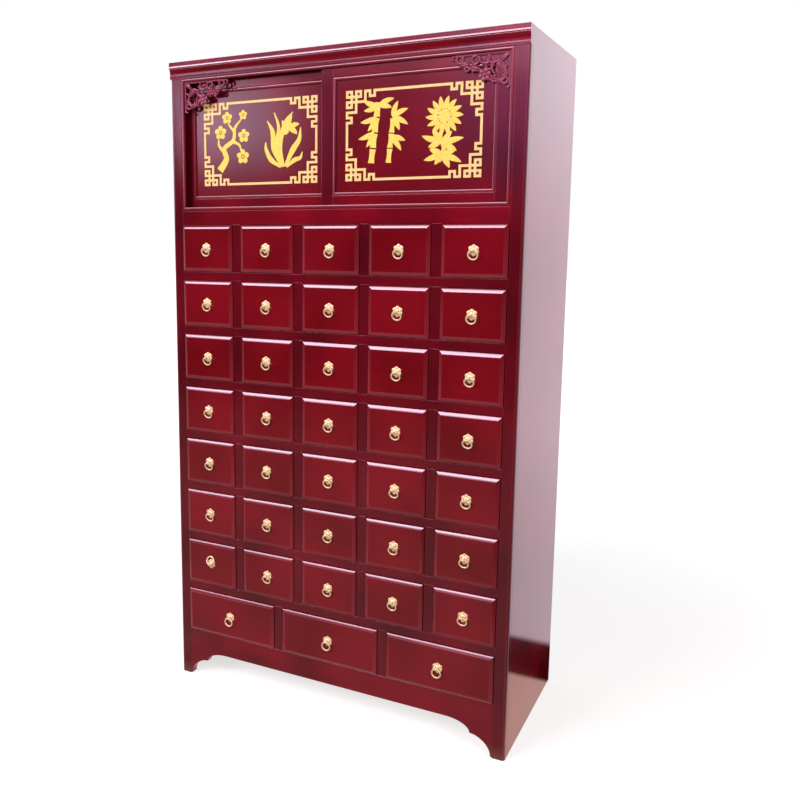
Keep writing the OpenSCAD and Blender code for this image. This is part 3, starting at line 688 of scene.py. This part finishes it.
def spandrel(side):
    """The carving in the corner at the left (side -1) or right (1) of the opening's head. x runs
    from the corner towards the middle and z from the head down, in steps of the carving grid."""
    corner = np.array([side * (post_x - trim_w), bead_high.z - trim_w])
    back = spandrel_high.y
    edge = back - spandrel_low.y - flower_up - vine_crown
    half = vine_w / 2

    def place(points):
        return corner + np.asarray(points, float) * carving_step * (-side, 1)

    def vine(path, taper=1.0, closed=False):
        return ribbon(path, half * taper, back, edge, vine_crown, closed=closed)

    def arc(x, z, r, start, end, closed=False):
        a = np.radians(np.linspace(start, end, 49 if closed else 33, endpoint=not closed))
        return place(np.stack([x + r * np.cos(a), z + r * np.sin(a)], 1))

    half_steps = half / carving_step
    inside = half_steps + 0.1
    parts = [vine(place([(s, -inside) for s in (0, 40, 80, 120, 160, 163)])),
             vine(place([(inside, -s) for s in (0, 30, 60, 88, 91)]))]
    rings = [(147, -14, 13), (126, -40, 9), (101, -17, 14), (62, -36, 13), (18, -78, 12)]
    parts += [vine(arc(x, z, r - half_steps, 0, 360, True), closed=True) for x, z, r in rings]
    tendrils = [(163, -9.5, 6.5, -70, 80), (130, -12.5, 9, -60, 80), (76, -14, 14, 130, 330),
                (38, -42, 17, -70, 200), (6, -48, 11, -90, 90), (27, -64, 12, 110, 330),
                (9, -91, 6, 180, 300)]
    for tendril in tendrils:
        path = arc(*tendril)
        taper = np.sin(np.linspace(0.35, math.pi - 0.35, len(path))) ** 0.3
        parts.append(vine(path, taper))
    leaves = [(84, -47, 36, 15, 12), (112, -26, 38, 12, -8), (23, -49, 30, 11, 48),
              (3, -3, 37, 12, -44), (66, -26, 26, 10, 38), (25, -86, 36, 11, 22),
              (5, -60, 26, 9, -28)]
    t = np.linspace(0.01, 0.99, 25)
    for x, z, length, width, turn in leaves:
        half_leaf = width / 2 * carving_step * 4 * t * (1 - t)
        parts.append(ribbon(place(midrib(x, z, length, turn, 0.05, t)), half_leaf, back,
                            edge + leaf_up, leaf_crown, vein_d))
    for x, z, r, petals in ((74, -60, 19, 6), (108, -38, 13, 5), (50, -71, 12, 5)):
        turn = 0.25 if side < 0 else 0.25 + 0.5 * (petals % 2)
        parts.append(blossom(*place([(x, z)])[0], back, r * carving_step, petals,
                             edge + leaf_up, petal_rise, turn))
    return parts


lacquer_carved = lacquer("red_lacquer_carving", 0, shade="#641632", light="#802c4c", gloss=0.36,
                         coat=0.8)
for side, name in ((-1, "left_spandrel"), (1, "right_spandrel")):
    make_piece(name, spandrel(side), lacquer_carved, "cabinet",
               ["corner_spandrels"], sharp=40)


# Sliding doors
# Each door is a frame of two stiles and two rails with a bead mitred round a thin panel. Tongues
# along its top and bottom run in the grooves, and the right door passes in front of the left.
stile_w = 39 * mm
door_rail_h = 28 * mm
door_bead_w = 9 * mm
door_bead_d = 1.8 * mm
door_bead_out = 0.1 * mm
groove_d = 6 * mm
tongue_t = 7 * mm
joint = 0.05 * mm
lacquer_panel = lacquer("red_lacquer_panel", 0, shade="#58050f", light="#6e0715", gloss=0.09,
                        figure_depth=0.12)


def door(name):
    """Boards and bead of one door, inside the box of its CAD frame, which takes in the tongues."""
    body, node = f"{name}_door", f"{name}_door_frame"
    low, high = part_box(node)
    z0, z1 = low.z + groove_d, high.z - groove_d
    x0, x1 = low.x + stile_w + joint, high.x - stile_w - joint
    y0, y1 = (low.y + high.y - tongue_t) / 2, (low.y + high.y + tongue_t) / 2
    stiles = [board((x, low.y, z0), (x + stile_w, high.y, z1), 1)
              for x in (low.x, high.x - stile_w)]
    make_piece(f"{body}_stiles", stiles, lacquer_z_painted_shade, body, [node])
    rails = [board((x0, low.y, z), (x1, high.y, z + door_rail_h), 1)
             for z in (z0, z1 - door_rail_h)]
    rails += [board((low.x, y0, z), (high.x, y1, z + groove_d - joint), 1, 0.4 * mm)
              for z in (low.z, z1 + joint)]
    make_piece(f"{body}_rails", rails, lacquer_x, body, [node])
    profile, wear_and_sheen = half_round(0, door_bead_w, door_bead_d, low.y - door_bead_out,
                               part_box(f"{body}_panel")[0].y)
    bead = mitred((x0, 0, z0 + door_rail_h + joint), (x1, 0, z1 - door_rail_h - joint), 1,
                  profile[:, 0], profile[:, 1], wear_and_sheen, closed=True)
    make_piece(f"{body}_bead", [bead], lacquer_x, body, [node])
    dress(f"{body}_panel", lacquer_panel)


door("left")
door("right")


# Gold fret and motifs
# A key fret is laid round each panel in pale gold paint on a raised ground, and inside it stand
# four plants painted in bright gold with a loaded brush: plum, orchid, bamboo and chrysanthemum.
paint_t = 0.7 * mm
paint_edge = 0.6 * paint_t
paint_crown = 0.4 * paint_t


def gold_paint(name, thin, full):
    """Brushed gold paint: mica and bronze flakes in varnish give a pale yellow with a slight sheen
    of metal, mottled in patches 6 mm across where the brush left more or less."""
    made, tree, place = new_finish(name)
    patches = add_node(tree, "ShaderNodeTexNoise",
                       inputs={0: place, "Scale": 1 / (6 * mm), "Detail": 2.0}).outputs[0]
    relief = add_node(tree, "ShaderNodeBump",
                      inputs={"Strength": 0.15, "Distance": 0.2 * mm, "Height": patches})
    paint = add_node(tree, "ShaderNodeBsdfPrincipled", inputs={
        "Base Color": layered(tree, thin, ((patches, 0.3, 0.7), full), curve="LINEAR"),
        "Metallic": 0.1, "Roughness": 0.45, "Normal": relief.outputs[0]})
    add_node(tree, "ShaderNodeOutputMaterial", inputs={0: paint.outputs[0]})
    return made


gold = gold_paint("bright_gold_paint", "#e8c050", "#f2d570")
gold_pale = gold_paint("pale_gold_paint", "#e2bd76", "#ecd094")
dress("left_door_fret", gold_pale)
dress("right_door_fret", gold_pale)


def curve_through(points, count=25):
    """Points along a Catmull-Rom curve: between two of the points, the cubic that leaves and meets
    them along the line that joins their neighbours."""
    p = np.asarray(points, float)
    p = np.concatenate([[2 * p[0] - p[1]], p, [2 * p[-1] - p[-2]]])
    u = np.linspace(0, len(p) - 3 - 1e-9, count)
    i, t = u.astype(int), (u % 1)[:, None]
    a, b, c, d = p[i], p[i + 1], p[i + 2], p[i + 3]
    return 0.5 * (2 * b + (c - a) * t + (2 * a - 5 * b + 4 * c - d) * t ** 2
                  + (3 * b - a - 3 * c + d) * t ** 3)


def brush_stroke(points, widths):
    """A stroke of the brush along a curve. widths are spread evenly along it, and it is a little
    thinner where it narrows. Like the rest of a motif it is drawn in mm round the middle, and lies
    paint_t thick on y = 0."""
    path = curve_through(points) * mm
    half = np.interp(np.linspace(0, 1, len(path)), np.linspace(0, 1, len(widths)), widths) / 2
    return ribbon(path, np.maximum(half, 0.15) * mm, 0.0, paint_edge, paint_crown)


def painted_leaf(x, z, length, width, turn, bend=0.12):
    """A leaf laid down in one press of the brush: pointed, widest a third of the way along."""
    t = np.linspace(0, 1, 17)
    half = np.maximum(width / 2 * 2.6 * t ** 0.7 * (1 - t) ** 0.9, 0.12)
    return ribbon(midrib(x, z, length, turn, bend, t) * mm, half * mm, 0.0, paint_edge, paint_crown)


def dab(x, z, r):
    """A round dab of the brush."""
    return blossom(x * mm, z * mm, 0.0, r * mm, 5, paint_edge, paint_crown, steps=3, disc=0.97)


def plum():
    """A plum branch that rises to the right, with open blossoms, each of five round petals round a
    dot."""
    strokes = [
        (((-50, -90), (-24, -54), (-32, -20), (4, 6), (10, 44), (34, 70)), (26, 20, 16, 13, 10, 4)),
        (((-33, -30), (-52, -10), (-54, 10)), (12, 9, 5)),
        (((2, 2), (26, -10), (34, -30)), (11, 8, 5)),
        (((10, 30), (-8, 50), (-16, 60)), (10, 7, 4))]
    parts = [brush_stroke(*stroke) for stroke in strokes]
    for x, z, r in ((-46, 32, 23), (40, -48, 24), (44, 18, 22), (-20, 78, 20), (42, 84, 16)):
        parts += [dab(x + 0.62 * r * math.cos(turn), z + 0.62 * r * math.sin(turn), 0.38 * r)
                  for turn in np.radians(np.arange(18, 378, 72))]
        parts.append(dab(x, z, 0.17 * r))
    return parts


def orchid():
    """Orchid leaves that arch out of one foot, and a flower of five slim petals."""
    strokes = [
        (((-6, -84), (-34, -30), (-40, 24), (-60, 60)), (9, 20, 16, 3)),
        (((0, -86), (-14, -20), (6, 48), (34, 82)), (9, 19, 15, 3)),
        (((6, -84), (34, -34), (56, -4), (62, 34)), (9, 20, 15, 3)),
        (((-10, -86), (-46, -62), (-64, -30), (-66, -6)), (8, 17, 12, 3)),
        (((10, -86), (40, -66), (60, -60), (68, -42)), (8, 15, 11, 3)),
        (((-2, -84), (-22, -10), (-18, 40), (-34, 84)), (7, 13, 11, 3))]
    petals = ((20, 40), (75, 44), (130, 38), (200, 30), (330, 34))
    return ([brush_stroke(*stroke) for stroke in strokes]
            + [painted_leaf(20, 30, length, 19, turn) for turn, length in petals])


def bamboo():
    """Two jointed canes, and bunches of leaves that hang from their joints."""
    parts = []
    for foot, tip, w, lengths in (((-32, -90), (-10, 90), 19, 4), ((24, -90), (38, 40), 16, 3)):
        ends = np.linspace(0, 1, lengths + 1)
        foot, tip = np.array(foot), np.array(tip)
        for start, end in zip(ends + 0.012, ends[1:] - 0.012):
            a, b = foot + (tip - foot) * start, foot + (tip - foot) * end
            parts.append(brush_stroke([a, (a + b) / 2, b], (w + 2, w - 2, w - 2, w + 2)))
    bunches = [(-16, 46, (195, 235)), (-10, 78, (160, 195, 350, 20)), (-24, 2, (200, 240)),
               (36, 42, (25, 70, 300, 335)), (30, -14, (310, 345))]
    for x, z, turns in bunches:
        parts += [painted_leaf(x, z, 54 - 5 * (i % 3), 18, turn, 0.06)
                  for i, turn in enumerate(turns)]
    return parts


def chrysanthemum():
    """A full flower head, petals round a domed heart, on a bent stem with lobed leaves."""
    parts = [brush_stroke([(6, 20), (-6, -20), (4, -56), (-10, -90)], (13, 11, 12, 15))]
    for turn in np.arange(0, 360, 360 / 14):
        a = math.radians(turn)
        parts.append(painted_leaf(4 + 17 * math.cos(a), 36 + 17 * math.sin(a), 40, 17, turn, 0.05))
    parts.append(blossom(4 * mm, 36 * mm, 0.0, 20 * mm, 8, paint_edge, 2 * paint_crown, steps=6))
    leaves = ((-4, -32, 165, 62), (0, -44, 15, 66), (-2, -66, 200, 58), (0, -74, 340, 62))
    for x, z, turn, size in leaves:
        parts += [painted_leaf(x, z, size - abs(lean) / 2, 20, turn + lean, 0.05)
                  for lean in (-38, 0, 38)]
    return parts


motif_z = 1887.5 * mm
motifs = (("left", plum, -380 * mm), ("left", orchid, -187 * mm),
          ("right", bamboo, 159 * mm), ("right", chrysanthemum, 351 * mm))
for side, motif, x in motifs:
    middle = (x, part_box(f"{side}_door_panel")[0].y, motif_z)
    parts = [(points + middle, faces, wear_and_sheen) for points, faces, wear_and_sheen in motif()]
    make_piece(f"{side}_door_{motif.__name__}", parts, gold, f"{side}_door")


# Drawers
# The front is a solid board with a bevel planed round its face, lacquered like the frame. Behind it
# a bare box of thin boards, glued and nailed, slides on the runners.
front_in = 17 * mm
front_rim = 2.5 * mm
bevel_w = 12 * mm
bevel_h = 5.5 * mm
bevel_swell = 0.4 * mm
# The bevels of the fronts are painted paler by these shares, most at the bottom: a painted sheen
# that stands for light from below.
bevel_painted_sheen = (1.1, 1.1, 0.2, 0.2)  # at the lower left, lower right, upper right and upper left
rim_round = 3 * mm
field_round = 2 * mm
inlet = 8 * mm
box_gap = 3 * mm
box_t = 10 * mm
box_bottom_t = 5 * mm
box_bottom_up = 5 * mm
box_drop = 20 * mm
box_arris_r = 0.5 * mm
rim_y = y_face - front_rim
field_y = rim_y - bevel_h


def drawer(node):
    """Front and box of the drawer that fills a node's opening. At the share t of its width the
    bevel of the front stands 4 s t (1 - t) out of its flat, where s is its swell, and its bevels
    are painted paler, most at the lower corners: a painted sheen that stands for light from below."""
    x0, x1, z0, z1 = opening[node]
    y_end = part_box(node)[1].y
    t = np.linspace(0, 1, 6)[:, None]
    start, end = np.array((0, rim_y)), np.array((bevel_w, field_y))
    outward = np.array((field_y - rim_y, -bevel_w)) / np.linalg.norm(end - start)
    bevel = start + (end - start) * t + outward * 4 * bevel_swell * t * (1 - t)
    profile = softened(
        [(inlet, y_face + front_in), (0, y_face + front_in), *bevel, (bevel_w + inlet, field_y)],
        [0, box_arris_r, rim_round, *[0] * 4, field_round, 0], steps=6)[0]
    bevelled = (profile[:, 1] < rim_y) & (profile[:, 0] < bevel_w)
    front = mitred((x0 + front_gap, 0, z0 + front_gap), (x1 - front_gap, 0, z1 - front_gap), 1,
                   profile[:, 0], profile[:, 1], np.where(bevelled[:, None], bevel_painted_sheen, 0.0))
    make_piece(f"{node}_front", [front], lacquer_front, node, [node])
    left, right = x0 + box_gap, x1 - box_gap
    inner_left, inner_right = left + box_t + joint, right - box_t - joint
    y_start, top = y_face + front_in + joint, z1 - box_drop
    bottom_low = z0 + run_gap + box_bottom_up
    bottom_high = bottom_low + box_bottom_t
    box_parts = [board((x, y_start, z0 + run_gap), (x + box_t, y_end, top), 0, box_arris_r)
                 for x in (left, right - box_t)]
    box_parts += [
        board((inner_left, y_start, bottom_low), (inner_right, y_end, bottom_high), 2, 0.3 * mm),
        board((inner_left, y_end - box_t, bottom_high + joint), (inner_right, y_end, top), 1,
              box_arris_r)]
    make_piece(f"{node}_box", box_parts, bare_y, node, [node])


lacquer_front = lacquer("red_lacquer_fronts", 0, shade="#62040e", light="#760817",
                        figure_depth=0.12)
for node in opening:
    drawer(node)


# Pulls
# A cast brass blossom is screwed to the middle of each front, an eye stands on it, and a drop ring
# of wire 4.8 mm thick hangs in the eye. The rings of the small drawers lean back on the front, one
# of them turned up, and those of the wide drawers swing and hang almost straight.
plate_r = 17 * mm
plate_t = 3 * mm
plate_edge = 0.4 * plate_t
dome_out = 7 * mm
dome_foot = 0.3 * plate_t
dome_r = 10.5 * mm
stem = np.array([(2.4, 7.0), (1.9, 7.6), (1.8, 9.0)]) * mm  # radius, distance outwards
stem_wear = 0.6
eye_out = 12.5 * mm
eye_r = 4.5 * mm
eye_w = 5 * mm
bore_r = 2.6 * mm
ring_r = 14 * mm
wire_r = 2.4 * mm
ring_wear = 0.8
pull_up = 2 * mm
raised_turn = math.radians(200)
leaning_turn = math.radians(-19)
free_turn = math.radians(-2)
raised_node = "drawer_r7c1"


def brass(name):
    """Cast brass, polished and lacquered: a pale warm yellow metal with a soft gloss, a little
    duller and browner where polish doesn't reach into the casting, in spots about 2 mm across."""
    made, tree, place = new_finish(name)
    spots = add_node(tree, "ShaderNodeTexNoise",
                     inputs={0: place, "Scale": 1 / (2 * mm), "Detail": 2.0})
    wear_and_sheen = add_node(tree, "ShaderNodeAttribute", {"attribute_name": "wear_and_sheen"})
    high = add_node(tree, "ShaderNodeMath", {"operation": "MULTIPLY_ADD"},
                    {0: spots.outputs[0], 1: 0.5, 2: wear_and_sheen.outputs["Fac"]}).outputs[0]
    bright = faded(tree, (high, 0.35, 1.0), curve="LINEAR")
    metal = add_node(tree, "ShaderNodeBsdfPrincipled", inputs={
        "Base Color": layered(tree, "#ebbc79", (bright, "#ffe5b6")), "Metallic": 0.5,
        "Roughness": faded(tree, (bright, 0.0, 1.0, 0.48, 0.32), curve="LINEAR")})
    add_node(tree, "ShaderNodeOutputMaterial", inputs={0: metal.outputs[0]})
    return made


cast_brass = brass("cast_brass")


def round_ring(centre, lean, major, half_w, half_t):
    """A ring that stands upright and faces -y, leaning about the x axis by an angle, or that lies
    round the x axis if lean is None. Its section is half_w and half_t across: at the angle b round
    the section it lies major + half_t cos b from the middle, and half_w sin b aside."""
    a = np.linspace(0, 2 * math.pi, 40, endpoint=False)[:, None]
    b = np.linspace(0, 2 * math.pi, 12, endpoint=False)
    out, along = major + half_t * np.cos(b), np.broadcast_to(half_w * np.sin(b), (len(a), len(b)))
    u, v = out * np.cos(a), out * np.sin(a)
    if lean is None:
        rings = np.stack([along, u, v], -1)
    else:
        rings = np.stack([u, along * math.cos(lean) - v * math.sin(lean),
                          along * math.sin(lean) + v * math.cos(lean)], -1)
    return loft(rings + np.array(centre), np.full(len(a), ring_wear), closed=True)


def pull_mount(x, z):
    """Plate, eye and stem, standing on the field of a front at (x, z). The stem is turned about its
    axis: a dome, a quarter ellipse in section, that runs out into a neck."""
    plate = blossom(x, z, field_y, plate_r, 6, plate_edge, plate_t - plate_edge, turn=0.5, steps=10,
                    disc=0.86)
    eye = round_ring((x, field_y - eye_out, z), None, (eye_r + bore_r) / 2,
                     eye_w / 2, (eye_r - bore_r) / 2)
    up = np.linspace(0, math.pi / 2, 9)[:-1]
    dome = np.stack([dome_r * np.cos(up), dome_foot + (dome_out - dome_foot) * np.sin(up)], 1)
    r, out = np.concatenate([dome, stem]).T[:, :, None]
    a = np.linspace(0, 2 * math.pi, 32, endpoint=False)
    rings = np.stack([x + r * np.cos(a), field_y - out + 0 * a, z + r * np.sin(a)], -1)
    return [plate, eye, loft(rings, np.full(len(r), stem_wear))]


def pull_ring(x, z, turn):
    """The ring in its eye, turned about the x axis from hanging, 0, to standing, half a turn."""
    centre = (x, field_y - eye_out - ring_r * math.sin(turn), z - ring_r * math.cos(turn))
    return [round_ring(centre, -turn, ring_r, wire_r, wire_r)]


for node, (x0, x1, z0, z1) in opening.items():
    x, z = (x0 + x1) / 2, (z0 + z1) / 2 + pull_up
    make_piece(f"{node}_pull", pull_mount(x, z), cast_brass, node, [node])
    ring_node, turn = node, leaning_turn
    if node in wide:
        ring_node, turn = node.replace("drawer", "ring"), free_turn
    elif node == raised_node:
        turn = raised_turn
    make_piece(f"{ring_node}_drop", pull_ring(x, z, turn), cast_brass, ring_node,
               [ring_node])
